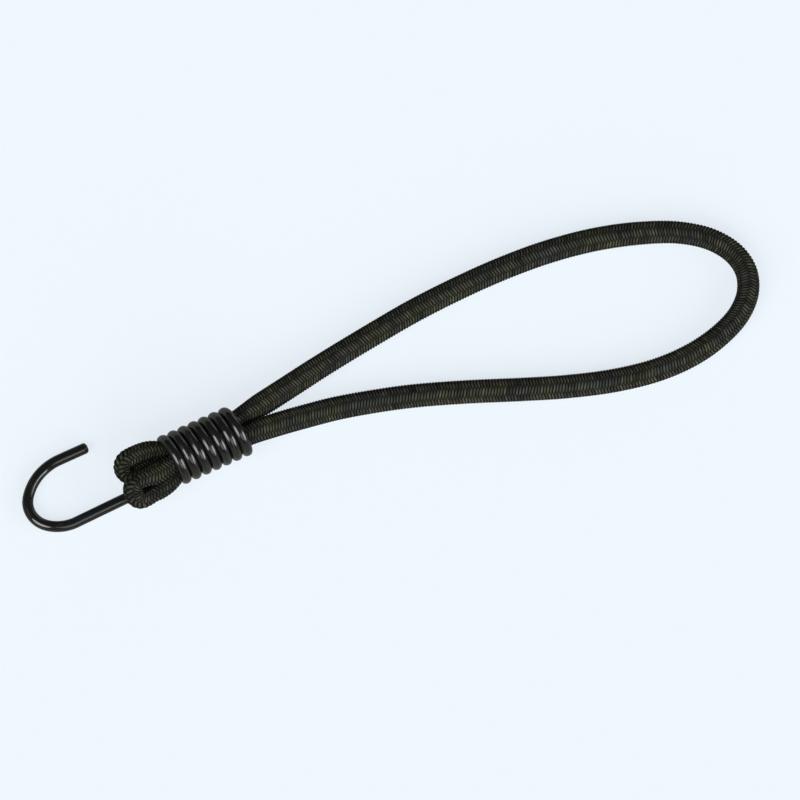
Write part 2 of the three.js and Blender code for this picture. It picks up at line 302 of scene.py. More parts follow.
def end_radii(x, end, on_leg):
    """Radii of one half of the cord; on_leg marks the steps before or after its fold."""
    at_mouth = end["mouth_radius"]
    outside = HELD_RADIUS + (at_mouth - HELD_RADIUS) * smoothstep(x, MOUTH_FROM, MOUTH_TO)
    outside = outside + (CORD_RADIUS - at_mouth) * smoothstep(x, *end["round_again"])
    run = np.where(on_leg, end["leg_radius"], end["tail_radius"])
    fold_start = -end["flare"][1]
    fold_end = -end["turn_x"] + end["turn_radius"]
    run = run + (end["fold_radius"] - run) * smoothstep(-x, fold_start, fold_end)
    eye_middle = (fold_start - end["turn_x"]) / 2
    eye_share = smoothstep(-x, fold_start, eye_middle) * smoothstep(x, -fold_end, end["turn_x"])
    run = run - end["eye"] * eye_share
    folded = HELD_RADIUS + (run - HELD_RADIUS) * flared(x, end)
    return np.where(x > 0, outside, folded)


x_along = cord_line[:, 0] - WINDING_MIDDLE.x
half = len(cord_line) // 2
back_fold = int(np.argmin(x_along[:half]))
front_fold = half + int(np.argmin(x_along[half:]))
steps = np.arange(len(cord_line))
radii = np.where(
    steps < half,
    end_radii(x_along, BACK_END, steps > back_fold),
    end_radii(x_along, FRONT_END, steps < front_fold),
)
radii = radii - BEND_NARROWING * smoothstep(x_along, *BEND_PLACE)
pitches = RIB_PITCH * (CORD_RADIUS / radii) ** SQUEEZE_STRETCH
ribs = np.cumsum(STEP / pitches)
print("ribs of the braid:", round(ribs[-1]), "radius from", round(radii.min() / MM, 2), "mm")

# %% [markdown]
# ## The braid
#
# The cover is a herringbone braid of sixteen yarns: eight wind one way round the cord and
# eight the other way, and each goes over two and under two. What shows is eight columns
# along the cord. In every other column short floats of yarn lean one way, in the columns
# between they lean the other way, and the ends of the floats interlock like a zip.
#
# A bump map could fake this, but the fine saw-tooth outline in the photo is real relief.
# So the relief is a function of two numbers, the place round the cord in columns and the
# place along it in ribs, and the skin's vertices are lifted by it. A float leans by less
# than one rib from side to side of its column. The material later uses the same two
# numbers, kept as the skin's UV map, for the filaments in each yarn.

# %% The relief of the braid
COLUMNS = 8
RELIEF = 0.46 * MM
CREST_RISE = 0.18 * MM
FLOAT_REACH = 0.8
FLOAT_ROUNDNESS = 0.75
FLOAT_LEAN = 0.65


def float_height(columns, ribs_along):
    """0 between the yarns, 1 on the crest of a float."""
    here = np.floor(columns)
    best = np.zeros_like(columns)
    for column in (here - 1, here, here + 1):
        along = columns - column - 0.5
        odd = np.mod(column, 2)
        phase = ribs_along + FLOAT_LEAN * (2 * odd - 1) * along + 0.5 * odd
        across = phase - np.floor(phase) - 0.5
        round_top = np.clip(1 - (2 * across) ** 2, 0, 1) ** FLOAT_ROUNDNESS
        dive = np.clip(1 - (along / FLOAT_REACH) ** 2, 0, 1) ** FLOAT_ROUNDNESS
        best = np.maximum(best, round_top * dive)
    return best


print("relief at a crest:", float_height(np.array([0.5]), np.array([0.5]))[0])

# %% [markdown]
# ## The winding's wire from the cord's side
#
# Where the cord leaves the winding it is pressed against the last turn and bulges over
# it. So a point of the skin that would lie inside the wire is moved towards the
# winding's axis, onto the wire's inner side. The wire is a helix: at each angle round the
# axis its turns have known places, and the nearest one is all that matters.

# %% Sizes of the wire
WIRE_RADIUS = 1.9 * MM
COIL_RADIUS = 7.45 * MM
COIL_MIDDLE = 24.95 * MM
PITCH = 3.83 * MM
TURNS = 7
ENTRY_RADIUS = 4.5 * MM
SHANK_HEIGHT = 1.7 * MM
SHANK_ANGLE = -math.pi - math.asin((SHANK_HEIGHT - AXIS_HEIGHT) / COIL_RADIUS)
ENTRY_BEND = math.pi / 2 - math.atan(PITCH / (2 * math.pi * COIL_RADIUS))
COIL_START = COIL_MIDDLE - TURNS * PITCH / 2
COIL_ANGLE = SHANK_ANGLE + ENTRY_RADIUS * (1 - math.cos(ENTRY_BEND)) / COIL_RADIUS
SKIN_CLEARANCE = 0.05 * MM
print("winding:", round(2 * (COIL_RADIUS + WIRE_RADIUS) / MM, 1), "mm across")

# %% Press the cord against the wire
def inside_winding(places):
    """Points that lie in the wire, moved onto its inner side."""
    y = places[:, 1] - WINDING_MIDDLE.y
    z = places[:, 2] - AXIS_HEIGHT
    reach = np.hypot(y, z)
    turn = np.mod((np.arctan2(z, y) - COIL_ANGLE) / (2 * math.pi), 1)
    number = np.clip(np.rint((places[:, 0] - COIL_START) / PITCH - turn), 0, TURNS - 1)
    off = places[:, 0] - (COIL_START + PITCH * (turn + number))
    thick = WIRE_RADIUS + SKIN_CLEARANCE
    limit = COIL_RADIUS - np.sqrt(np.clip(thick**2 - off**2, 0, None))
    share = np.where(np.abs(off) < thick, np.minimum(1, limit / np.maximum(reach, limit)), 1)
    pressed = places.copy()
    pressed[:, 1] = WINDING_MIDDLE.y + y * share
    pressed[:, 2] = AXIS_HEIGHT + z * share
    return pressed


# %% [markdown]
# ## Rolling the skin
#
# A cord's skin is a flat sheet rolled round its line. bmesh makes the sheet as a grid,
# with one row of faces for each step along the cord. Its places become the UV map, then
# each vertex is moved to its place round the cord, the two long edges are merged, and the
# open ends are closed. Where the cord lies on the table its underside settles a little.

# %% A skin rolled round part of the cord's line
AROUND = 6 * COLUMNS
MERGE_DISTANCE = MM / 1000


def rolled(name, first, last, around, stride=1, share=1.0, relief=RELIEF):
    """A closed skin round the cord's line from step first to step last."""
    rows = list(range(first, last, stride)) + [last]
    work = bmesh.new()
    bmesh.ops.create_grid(work, x_segments=len(rows) - 1, y_segments=around, size=1)
    mesh = bpy.data.meshes.new(name)
    work.to_mesh(mesh)
    work.free()

    flat = np.empty(len(mesh.vertices) * 3)
    mesh.vertices.foreach_get("co", flat)
    flat = flat.reshape(-1, 3)
    row = np.array(rows)[np.rint((flat[:, 0] + 1) / 2 * (len(rows) - 1)).astype(int)]
    turn = (flat[:, 1] + 1) / 2
    columns = turn * COLUMNS

    corner = np.empty(len(mesh.loops), int)
    mesh.loops.foreach_get("vertex_index", corner)
    uv = np.column_stack([turn[corner], ribs[row][corner] / COLUMNS])
    mesh.uv_layers.new(name="braid").data.foreach_set("uv", uv.ravel())
    squeezed = mesh.attributes.new("squeezed", "FLOAT", "POINT")
    squeezed.data.foreach_set("value", 1 - radii[row] / CORD_RADIUS)

    crest = radii[row] * share
    if relief:
        crest += CREST_RISE
    radius = crest - relief * (1 - float_height(columns, ribs[row]))
    angle = 2 * math.pi * (turn - 0.5 / COLUMNS)
    offset = normals[row] * np.cos(angle)[:, None] + binormals[row] * np.sin(angle)[:, None]
    offset *= radius[:, None]
    settled = np.clip(cord_line[row, 2] / crest, 0, 1)
    offset[:, 2] *= np.where(offset[:, 2] < 0, settled, 1)
    mesh.vertices.foreach_set("co", inside_winding(cord_line[row] + offset).ravel())
    mesh.update()
    return closed(mesh)


def closed(mesh):
    """Merges the long edges, closes the ends and turns every face outwards."""
    work = bmesh.new()
    work.from_mesh(mesh)
    bmesh.ops.remove_doubles(work, verts=work.verts, dist=MERGE_DISTANCE)
    rim = [edge for edge in work.edges if edge.is_boundary]
    bmesh.ops.holes_fill(work, edges=rim, sides=0)
    bmesh.ops.recalc_face_normals(work, faces=work.faces)
    for face in work.faces:
        face.smooth = True
    work.to_mesh(mesh)
    work.free()
    skin = bpy.data.objects.new(mesh.name, mesh)
    bpy.context.scene.collection.objects.link(skin)
    return skin


print("points round the skin:", AROUND)

# %% [markdown]
# ## The stretches of cord
#
# The cord is one piece, but the construction model lets it bend just outside the winding
# and grow longer along the loop's two legs. A stretch can follow only one of these
# motions, so the skin is cut at the same seams: the two ends that the winding holds, the
# two necks that bend, and the loop, whose legs stretch. At a seam both sides use the same
# ring of points, so nothing shows.

# %% Where the seams are
def step_at(x, from_start):
    """The first or the last step at which the cord crosses this place along the axis."""
    beyond = x_along > x
    return int(np.argmax(beyond)) if from_start else len(beyond) - 1 - int(np.argmax(beyond[::-1]))


mouth_out, mouth_back = step_at(MOUTH_SEAM, True), step_at(MOUTH_SEAM, False)
neck_out, neck_back = step_at(NECK_SEAM, True), step_at(NECK_SEAM, False)
cord_end = len(cord_line) - 1
print("free cord:", round((mouth_back - mouth_out) * STEP / MM), "mm")

# %% Skins and rubber cores of the five stretches
CORE_SHARE = 0.66
CORE_SIDES = 16
CORE_STRIDE = 8
STRETCHES = {
    "back_end": (0, mouth_out),
    "back_neck": (mouth_out, neck_out),
    "loop": (neck_out, neck_back),
    "front_neck": (neck_back, mouth_back),
    "front_end": (mouth_back, cord_end),
}

covers, cores = {}, {}
for stretch, (first, last) in STRETCHES.items():
    covers[stretch] = rolled(f"{stretch}_braid", first, last, AROUND)
    cores[stretch] = rolled(
        f"{stretch}_rubber", first, last, CORE_SIDES,
        stride=CORE_STRIDE, share=CORE_SHARE, relief=0,
    )
    print(stretch, len(covers[stretch].data.polygons), "faces")

# %% [markdown]
# ## The wire
#
# The wire is drawn as a Blender curve with a round bevel, which is what a bent wire is: a
# centre line with a thickness. The hook wasn't bent round one round pin: it is tight at
# its nose and slack on both shoulders, so it is three arcs that run into each other. The
# tip and the shank are straight, and the winding is a helix. A curve makes the tube, its
# caps and its even facets by itself; it is then made a mesh, and pressed flat where it
# stands.

# %% The wire's centre line
HEEL_AT = (-25.5 * MM, -8.6 * MM)
HEEL_RADIUS = 14.2 * MM
NOSE_RADIUS = 8.9 * MM
CROWN_RADIUS = 19 * MM
TIP_LENGTH = 10.6 * MM

# Angles at which the arcs meet, in degrees
CROWN_FROM = 90
NOSE_FROM = 144
NOSE_TO = 231.5
HEEL_TO = 270

TIP_STEPS = 6
ARC_STEPS = 32
SHANK_STEPS = 12
ENTRY_STEPS = 14
STEPS_PER_TURN = 96


def arc(middle, radius, start, end):
    angles = np.radians(np.linspace(start, end, ARC_STEPS + 1))
    x = middle[0] + radius * np.cos(angles)
    y = middle[1] + radius * np.sin(angles)
    return np.column_stack([x, y, np.full(ARC_STEPS + 1, SHANK_HEIGHT)])


def next_middle(middle, radius, next_radius, angle):
    """Where the next arc has its middle, if it runs on smoothly from this angle."""
    out = np.array([math.cos(math.radians(angle)), math.sin(math.radians(angle))])
    return middle + (radius - next_radius) * out


def round_axis(x, angles):
    y = WINDING_MIDDLE.y + COIL_RADIUS * np.cos(angles)
    z = AXIS_HEIGHT + COIL_RADIUS * np.sin(angles)
    return np.column_stack([x, y, z])


def wire_line():
    heel_middle = np.array([HEEL_AT[0], HEEL_AT[1] + HEEL_RADIUS])
    nose_middle = next_middle(heel_middle, HEEL_RADIUS, NOSE_RADIUS, NOSE_TO)
    crown_middle = next_middle(nose_middle, NOSE_RADIUS, CROWN_RADIUS, NOSE_FROM)
    heel = arc(heel_middle, HEEL_RADIUS, NOSE_TO, HEEL_TO)[1:]
    nose = arc(nose_middle, NOSE_RADIUS, NOSE_FROM, NOSE_TO)[1:]
    crown = arc(crown_middle, CROWN_RADIUS, CROWN_FROM, NOSE_FROM)
    straight = [TIP_LENGTH * (1 - k / TIP_STEPS) for k in range(TIP_STEPS)]
    tip = [crown[0] + np.array([length, 0, 0]) for length in straight]

    bend_start = COIL_START - ENTRY_RADIUS * math.sin(ENTRY_BEND)
    entry_y = WINDING_MIDDLE.y + COIL_RADIUS * math.cos(SHANK_ANGLE)
    share = np.linspace(0, 1, SHANK_STEPS + 1)[1:, None]
    shank = heel[-1] + (np.array([bend_start, entry_y, SHANK_HEIGHT]) - heel[-1]) * share
    turned = np.linspace(0, ENTRY_BEND, ENTRY_STEPS + 1)[1:-1]
    rise = ENTRY_RADIUS * (1 - np.cos(turned)) / COIL_RADIUS
    entry = round_axis(bend_start + ENTRY_RADIUS * np.sin(turned), SHANK_ANGLE + rise)
    turns = np.linspace(0, TURNS, TURNS * STEPS_PER_TURN + 1)
    coil = round_axis(COIL_START + PITCH * turns, COIL_ANGLE + 2 * math.pi * turns)
    return np.vstack([tip, crown, nose, heel, shank, entry, coil])


wire_path = wire_line()
wire_length = np.linalg.norm(np.diff(wire_path, axis=0), axis=1).sum()
print("length of the wire:", round(wire_length / MM), "mm")

# %% The wire as a beveled curve
# Each step of the rounded cut: its depth and its radius, as shares of the wire's radius
CUT_ROUNDING_SHARES = [(0, 0.55), (0.12, 0.8), (0.3, 0.94), (0.55, 1)]
BEVEL_RESOLUTION = 12


def rounded_cut(end, inner):
    """The points of one end of the wire, where a cut edge is rounded off."""
    inwards = (inner - end) / np.linalg.norm(inner - end)
    return [end + inwards * depth * WIRE_RADIUS for depth, share in CUT_ROUNDING_SHARES]


def make_wire(line):
    points = np.vstack([
        rounded_cut(line[0], line[1]), line[1:-1], rounded_cut(line[-1], line[-2])[::-1],
    ])
    cut_shares = [share for depth, share in CUT_ROUNDING_SHARES]
    shares = cut_shares + [1] * (len(line) - 2) + cut_shares[::-1]

    curve = bpy.data.curves.new("wire_line", "CURVE")
    curve.dimensions = "3D"
    curve.twist_mode = "MINIMUM"
    curve.bevel_depth = WIRE_RADIUS
    curve.bevel_resolution = BEVEL_RESOLUTION
    curve.use_fill_caps = True
    spline = curve.splines.new("POLY")
    spline.points.add(len(points) - 1)
    spline.points.foreach_set("co", np.column_stack([points, np.ones(len(points))]).ravel())
    spline.points.foreach_set("radius", shares)
    bent = bpy.data.objects.new("wire_line", curve)
    bpy.context.scene.collection.objects.link(bent)
    graph = bpy.context.evaluated_depsgraph_get()
    mesh = bpy.data.meshes.new_from_object(bent.evaluated_get(graph))
    bpy.data.objects.remove(bent)
    mesh.name = "bent_wire"
    places = np.empty(len(mesh.vertices) * 3)
    mesh.vertices.foreach_get("co", places)
    places = places.reshape(-1, 3)
    places[:, 2] = np.maximum(places[:, 2], 0)
    mesh.vertices.foreach_set("co", places.ravel())
    return closed(mesh)


wire = make_wire(wire_path)
print("wire:", len(wire.data.polygons), "faces")

# %% [markdown]
# ## Materials
#
# The materials are built from nodes. A few small helpers keep that readable: one feeds a
# socket with a number or with another socket, one makes a Math node, one mixes two
# colours, and one makes a node group with named inputs and outputs. A pair of numbers is
# a range: a gain or a roughness goes from the first to the second as its mask goes from
# 0 to 1, and in a contrast the mask itself rises from 0 to 1 between the two.

# %% Shader helpers
def feed(tree, socket, value):
    if isinstance(value, bpy.types.NodeSocket):
        tree.links.new(value, socket)
    else:
        socket.default_value = value


def maths(tree, operation, *values):
    node = tree.nodes.new("ShaderNodeMath")
    node.operation = operation
    for socket, value in zip(node.inputs, values):
        feed(tree, socket, value)
    return node.outputs["Value"]


def mixed(tree, share, first, second):
    node = tree.nodes.new("ShaderNodeMix")
    node.data_type = "RGBA"
    colours = [socket for socket in node.inputs if socket.type == "RGBA"]
    for socket, value in zip([node.inputs["Factor"]] + colours, (share, first, second)):
        feed(tree, socket, value)
    return next(socket for socket in node.outputs if socket.type == "RGBA")


def between(tree, share, first, second):
    """A number that goes from the first to the second as the share goes from 0 to 1."""
    return maths(tree, "MULTIPLY_ADD", share, second - first, first)


def ramped(tree, value, low, high):
    """A soft step: 0 below low, 1 above high."""
    node = tree.nodes.new("ShaderNodeMapRange")
    node.interpolation_type = "SMOOTHSTEP"
    for name, number in (("Value", value), ("From Min", low), ("From Max", high)):
        feed(tree, node.inputs[name], number)
    return node.outputs["Result"]


def noise(tree, vector, scale, detail=2.0):
    node = tree.nodes.new("ShaderNodeTexNoise")
    feed(tree, node.inputs["Vector"], vector)
    feed(tree, node.inputs["Scale"], scale)
    node.inputs["Detail"].default_value = detail
    return node.outputs["Fac"]


def vector_of(tree, x, y, z):
    node = tree.nodes.new("ShaderNodeCombineXYZ")
    for socket, value in zip(node.inputs, (x, y, z)):
        feed(tree, socket, value)
    return node.outputs["Vector"]


def new_group(name, inputs, outputs):
    """A node group; returns it with its input sockets and its output node."""
    group = bpy.data.node_groups.new(name, "ShaderNodeTree")
    for direction, sockets in (("INPUT", inputs), ("OUTPUT", outputs)):
        for socket_name, kind in sockets:
            group.interface.new_socket(
                name=socket_name, in_out=direction, socket_type=f"NodeSocket{kind}",
            )
    source = group.nodes.new("NodeGroupInput").outputs
    return group, source, group.nodes.new("NodeGroupOutput").inputs


def placed(tree, group, **values):
    """Places a group in a tree and feeds its inputs by name."""
    node = tree.nodes.new("ShaderNodeGroup")
    node.node_tree = group
    for name, value in values.items():
        feed(tree, node.inputs[name.replace("_", " ").capitalize()], value)
    return node.outputs


# %% [markdown]
# ### One effect for all: uneven stock
#
# No real surface has quite the same tone all over. Dye takes unevenly, a coat is thicker
# here and thinner there. This group gives a soft, cloudy value between two others, and
# every material below uses it with its own sizes.

# %% The group for uneven tone
CLOUD_DETAIL = 3
CLOUD_CONTRAST = (0.35, 0.65)


def uneven_group():
    group, source, result = new_group(
        "uneven",
        [("Place", "Vector"), ("Size", "Float"), ("Low", "Float"), ("High", "Float")],
        [("Value", "Float")],
    )
    scale = maths(group, "DIVIDE", 1, source["Size"])
    share = ramped(group, noise(group, source["Place"], scale, CLOUD_DETAIL), *CLOUD_CONTRAST)
    span = maths(group, "SUBTRACT", source["High"], source["Low"])
    group.links.new(maths(group, "MULTIPLY_ADD", span, share, source["Low"]), result["Value"])
    return group


uneven = uneven_group()
print("group:", uneven.name)

# %% [markdown]
# ### The braid's yarns
#
# The skin's relief has the shape of the yarns but not their filaments. The material works
# the same two numbers out again from the UV map: which column and which rib a point is
# in, how far it is from the middle of its float, and which yarn it belongs to. A float is
# worked out by one small group, which is placed three times, because a float reaches into
# the columns beside its own, and the highest of the three is the one that shows.

# %% The group for one float, and the group for the whole braid
# Far enough apart that no two columns give their yarns the same numbers side by side
YARN_NUMBERS_PER_COLUMN = 37


def float_group():
    group, source, result = new_group(
        "one_float",
        [("Columns", "Float"), ("Ribs", "Float"), ("Beside", "Float")],
        [("Height", "Float"), ("Across", "Float"), ("Along", "Float"), ("Yarn", "Float")],
    )
    column = maths(group, "ADD", maths(group, "FLOOR", source["Columns"]), source["Beside"])
    along = maths(group, "SUBTRACT", maths(group, "SUBTRACT", source["Columns"], column), 0.5)
    odd = maths(group, "FLOORED_MODULO", column, 2)
    lean = maths(group, "MULTIPLY_ADD", odd, 2 * FLOAT_LEAN, -FLOAT_LEAN)
    leaned = maths(group, "MULTIPLY_ADD", lean, along, source["Ribs"])
    phase = maths(group, "MULTIPLY_ADD", odd, 0.5, leaned)
    across = maths(group, "SUBTRACT", maths(group, "FRACT", phase), 0.5)

    def hump(value, reach):
        share = maths(group, "POWER", maths(group, "DIVIDE", value, reach), 2)
        rest = maths(group, "MAXIMUM", maths(group, "SUBTRACT", 1, share), 0)
        return maths(group, "POWER", rest, FLOAT_ROUNDNESS)

    distance = maths(group, "ABSOLUTE", along)
    round_top = hump(maths(group, "ABSOLUTE", across), 0.5)
    height = maths(group, "MULTIPLY", round_top, hump(distance, FLOAT_REACH))
    rib = maths(group, "FLOOR", phase)
    yarn = maths(group, "MULTIPLY_ADD", column, YARN_NUMBERS_PER_COLUMN, rib)
    for name, value in (("Height", height), ("Across", across), ("Along", along), ("Yarn", yarn)):
        group.links.new(value, result[name])
    return group


def braid_group(one_float):
    names = ("Height", "Across", "Along", "Yarn")
    group, source, result = new_group(
        "braid", [("Columns", "Float"), ("Ribs", "Float")], [(name, "Float") for name in names],
    )
    counts = {"columns": source["Columns"], "ribs": source["Ribs"]}
    own = placed(group, one_float, **counts, beside=0)
    top = {name: own[name] for name in names}
    for beside in (-1, 1):
        other = placed(group, one_float, **counts, beside=beside)
        higher = maths(group, "GREATER_THAN", other["Height"], top["Height"])
        for name in names:
            gain = maths(group, "SUBTRACT", other[name], top[name])
            top[name] = maths(group, "MULTIPLY_ADD", gain, higher, top[name])
    for name in names:
        group.links.new(top[name], result[name])
    return group


braid = braid_group(float_group())
print("nodes in the braid's group:", len(braid.nodes))

# %% [markdown]
# ### How each material starts
#
# Each material starts from Blender's Principled shader. A pattern is placed either by
# Object coordinates, which go with the piece when it moves, or by the piece's own UV map,
# which follows its surface. A fine relief is left to a Bump node, which shades the
# surface as if it were uneven and doesn't move it.

# %% Helpers that start a material
def new_material(name):
    material = bpy.data.materials.new(name)
    material.use_nodes = True
    tree = material.node_tree
    return material, tree, tree.nodes["Principled BSDF"]


def object_place(tree):
    return tree.nodes.new("ShaderNodeTexCoord").outputs["Object"]


def uv_place(tree, name):
    node = tree.nodes.new("ShaderNodeUVMap")
    node.uv_map = name
    split = tree.nodes.new("ShaderNodeSeparateXYZ")
    tree.links.new(node.outputs["UV"], split.inputs["Vector"])
    return split.outputs["X"], split.outputs["Y"]


def bumped(tree, shader, height, distance):
    bump = tree.nodes.new("ShaderNodeBump")
    bump.inputs["Distance"].default_value = distance
    tree.links.new(height, bump.inputs["Height"])
    tree.links.new(bump.outputs["Normal"], shader.inputs["Normal"])


# %% [markdown]
# ### The woven cover
#
# The cover is dull black polyester with an olive cast. Between the yarns its colour is
# painted near black, a painted shade where hardly any light gets in; on the crest of each
# float it keeps the yarn's own colour. The filaments are noise that is stretched along the
# float: they are the yarn's grain, and their lighter lines are partly a painted sheen
# where a few filaments catch the light. They also feed a fine bump and a small change of
# roughness. The colour is also darker where the cord is squeezed, in the winding and at
# its mouths, so the skin carries how much it is squeezed.

# %% The cover's material
# Near black between the yarns: painted shade where little light gets in
PAINTED_GAP_SHADE = (0.0022, 0.0026, 0.0021, 1)
YARN_OLIVE = (0.058, 0.060, 0.037, 1)
YARN_GREY = (0.044, 0.047, 0.041, 1)
DYE_CLOUD_SIZE = 9 * MM
# Float heights over which the painted shade between the yarns gives way to the yarn's colour
CREST_HEIGHTS = (0.48, 1)

# Scales of the filaments' noise across and along a float, and its step from yarn to yarn
FILAMENTS_ACROSS = 9
FILAMENTS_ALONG = 1.5
YARN_STEP = 0.73
FILAMENT_CONTRAST = (0.35, 0.7)
FILAMENT_BUMP = 0.08 * MM
YARN_TONE_SCALE = 0.83

# What the dyed colour is multiplied by
# Filament lines: the yarn's grain, and where lighter, partly a painted sheen
FILAMENT_AND_SHEEN_GAIN = (0.45, 1.45)
YARN_GAIN = (0.2, 1.8)
# Darker where the cord is squeezed, in the winding and at its mouths
SQUEEZED_GAIN = (1, 0.2)

COVER_ROUGHNESS = (0.85, 0.6)
COVER_SPECULAR = 0.1


def cover_material():
    material, tree, shader = new_material("braided_cover")
    around, along = uv_place(tree, "braid")
    columns = maths(tree, "MULTIPLY", around, COLUMNS)
    ribs_along = maths(tree, "MULTIPLY", along, COLUMNS)
    yarns = placed(tree, braid, columns=columns, ribs=ribs_along)

    filament_place = vector_of(
        tree,
        maths(tree, "MULTIPLY", yarns["Across"], FILAMENTS_ACROSS),
        maths(tree, "MULTIPLY", yarns["Along"], FILAMENTS_ALONG),
        maths(tree, "MULTIPLY", yarns["Yarn"], YARN_STEP),
    )
    filaments = noise(tree, filament_place, 1)
    yarn_tone = noise(tree, vector_of(tree, yarns["Yarn"], 0.5, 0.5), YARN_TONE_SCALE, 0)
    patches = placed(tree, uneven, place=object_place(tree), size=DYE_CLOUD_SIZE, low=0, high=1)

    dyed = mixed(tree, patches["Value"], YARN_OLIVE, YARN_GREY)
    # Lighter filament lines are the yarn's grain and partly a painted sheen
    streaks = ramped(tree, filaments, *FILAMENT_CONTRAST)
    gain = between(tree, streaks, *FILAMENT_AND_SHEEN_GAIN)
    gain = maths(tree, "MULTIPLY", gain, between(tree, yarn_tone, *YARN_GAIN))
    squeezed = tree.nodes.new("ShaderNodeAttribute")
    squeezed.attribute_name = "squeezed"
    gain = maths(tree, "MULTIPLY", gain, between(tree, squeezed.outputs["Fac"], *SQUEEZED_GAIN))
    lit = tree.nodes.new("ShaderNodeVectorMath")
    lit.operation = "SCALE"
    tree.links.new(dyed, lit.inputs[0])
    tree.links.new(gain, lit.inputs["Scale"])
    # The colour goes from painted shade between the floats to the yarn's own colour on them
    crest = ramped(tree, yarns["Height"], *CREST_HEIGHTS)
    colour = mixed(tree, crest, PAINTED_GAP_SHADE, lit.outputs["Vector"])
    tree.links.new(colour, shader.inputs["Base Color"])

    tree.links.new(between(tree, filaments, *COVER_ROUGHNESS), shader.inputs["Roughness"])
    bumped(tree, shader, maths(tree, "MULTIPLY", filaments, crest), FILAMENT_BUMP)
    shader.inputs["Specular IOR Level"].default_value = COVER_SPECULAR
    return material


cover_finish = cover_material()
print("nodes in the cover's material:", len(cover_finish.node_tree.nodes))

# %% [markdown]
# ### The rubber threads
#
# The core is a bundle of square natural-rubber threads, the colour of a rubber band and
# dusty with talc. It is closed in all round, so a simple pattern of threads will do: lines
# along the core, each with a tone of its own.

# %% The core's material
RUBBER_DARK = (0.30, 0.18, 0.075, 1)
RUBBER_LIGHT = (0.56, 0.40, 0.21, 1)
THREADS_AROUND = 22
THREAD_EDGE = (0, 0.16)
THREAD_TONE_SCALE = 1.7
THREAD_BUMP = 0.3 * MM
TALC_SIZE = 4 * MM
TALC_ROUGHNESS = (0.55, 0.8)


def core_material():
    material, tree, shader = new_material("rubber_threads")
    around, along = uv_place(tree, "braid")
    thread = maths(tree, "MULTIPLY", around, THREADS_AROUND)
    side = maths(tree, "ABSOLUTE", maths(tree, "SUBTRACT", maths(tree, "FRACT", thread), 0.5))
    top = ramped(tree, maths(tree, "SUBTRACT", 0.5, side), *THREAD_EDGE)
    tone_place = vector_of(tree, maths(tree, "FLOOR", thread), along, 0)
    tone = noise(tree, tone_place, THREAD_TONE_SCALE, 1)
    low, high = TALC_ROUGHNESS
    talc = placed(tree, uneven, place=object_place(tree), size=TALC_SIZE, low=low, high=high)
    colour = mixed(tree, maths(tree, "MULTIPLY", top, tone), RUBBER_DARK, RUBBER_LIGHT)
    tree.links.new(colour, shader.inputs["Base Color"])
    tree.links.new(talc["Value"], shader.inputs["Roughness"])
    bumped(tree, shader, top, THREAD_BUMP)
    return material


core_finish = core_material()
print("threads round the core:", THREADS_AROUND)

# %% [markdown]
# ### The black wire
#
# The wire is steel with a thin, glossy black coat. Black gloss shows hardly any colour of
# its own: what one sees is the reflection of the lamps, a few per cent of their light.
# That is a plain dielectric with a clear coat over it. The coat isn't perfect. It is
# slightly wavy and duller in places, which the group for uneven tone gives. It also has
# fine lines along the wire, from when the wire was drawn and bent: they are noise that is
# stretched along the wire's own UV map, and they change colour, roughness and bump.

# %% The wire's material
COAT_BLACK = (0.0055, 0.006, 0.0055, 1)
COAT_WORN = (0.045, 0.043, 0.038, 1)

# Scales of the fine lines' noise round and along the wire, and what the lines change
LINE_SCALE_AROUND = 9
LINE_SCALE_ALONG = 40
LINE_DETAIL = 3
LINE_CONTRAST = (0.58, 0.70)
LINE_WEAR = 0.6
LINE_ROUGHNESS = 0.18
LINE_DEPTH_SHARE = 0.25

DULL_SIZE = 5 * MM
DULL_ROUGHNESS = (0.13, 0.23)
WAVE_SIZE = 1.6 * MM
WAVE_DEPTH = 0.012 * MM
COAT_WEIGHT = (0.4, 0.1)
COAT_ROUGHNESS = 0.05
PAINT_IOR = 1.5


def wire_material():
    material, tree, shader = new_material("black_wire")
    around, along = uv_place(tree, "UVMap")
    angle = maths(tree, "MULTIPLY", around, 2 * math.pi)
    ring = (maths(tree, "COSINE", angle), maths(tree, "SINE", angle))
    place = object_place(tree)

    drawn_place = vector_of(
        tree,
        maths(tree, "MULTIPLY", ring[0], LINE_SCALE_AROUND),
        maths(tree, "MULTIPLY", ring[1], LINE_SCALE_AROUND),
        maths(tree, "MULTIPLY", along, LINE_SCALE_ALONG),
    )
    lines = ramped(tree, noise(tree, drawn_place, 1, LINE_DETAIL), *LINE_CONTRAST)
    low, high = DULL_ROUGHNESS
    dull = placed(tree, uneven, place=place, size=DULL_SIZE, low=low, high=high)
    wavy = placed(tree, uneven, place=place, size=WAVE_SIZE, low=0, high=1)

    colour = mixed(tree, maths(tree, "MULTIPLY", lines, LINE_WEAR), COAT_BLACK, COAT_WORN)
    tree.links.new(colour, shader.inputs["Base Color"])
    rough = maths(tree, "MULTIPLY_ADD", lines, LINE_ROUGHNESS, dull["Value"])
    tree.links.new(rough, shader.inputs["Roughness"])
    tree.links.new(between(tree, lines, *COAT_WEIGHT), shader.inputs["Coat Weight"])
    height = maths(tree, "MULTIPLY_ADD", lines, -LINE_DEPTH_SHARE, wavy["Value"])
    bumped(tree, shader, height, WAVE_DEPTH)
    shader.inputs["IOR"].default_value = PAINT_IOR
    shader.inputs["Coat Roughness"].default_value = COAT_ROUGHNESS
    return material


wire_finish = wire_material()
print("nodes in the wire's material:", len(wire_finish.node_tree.nodes))

# %% Give each piece its material
for stretch in STRETCHES:
    covers[stretch].data.materials.append(cover_finish)
    cores[stretch].data.materials.append(core_finish)
wire.data.materials.append(wire_finish)
print("materials:", [material.name for material in bpy.data.materials])

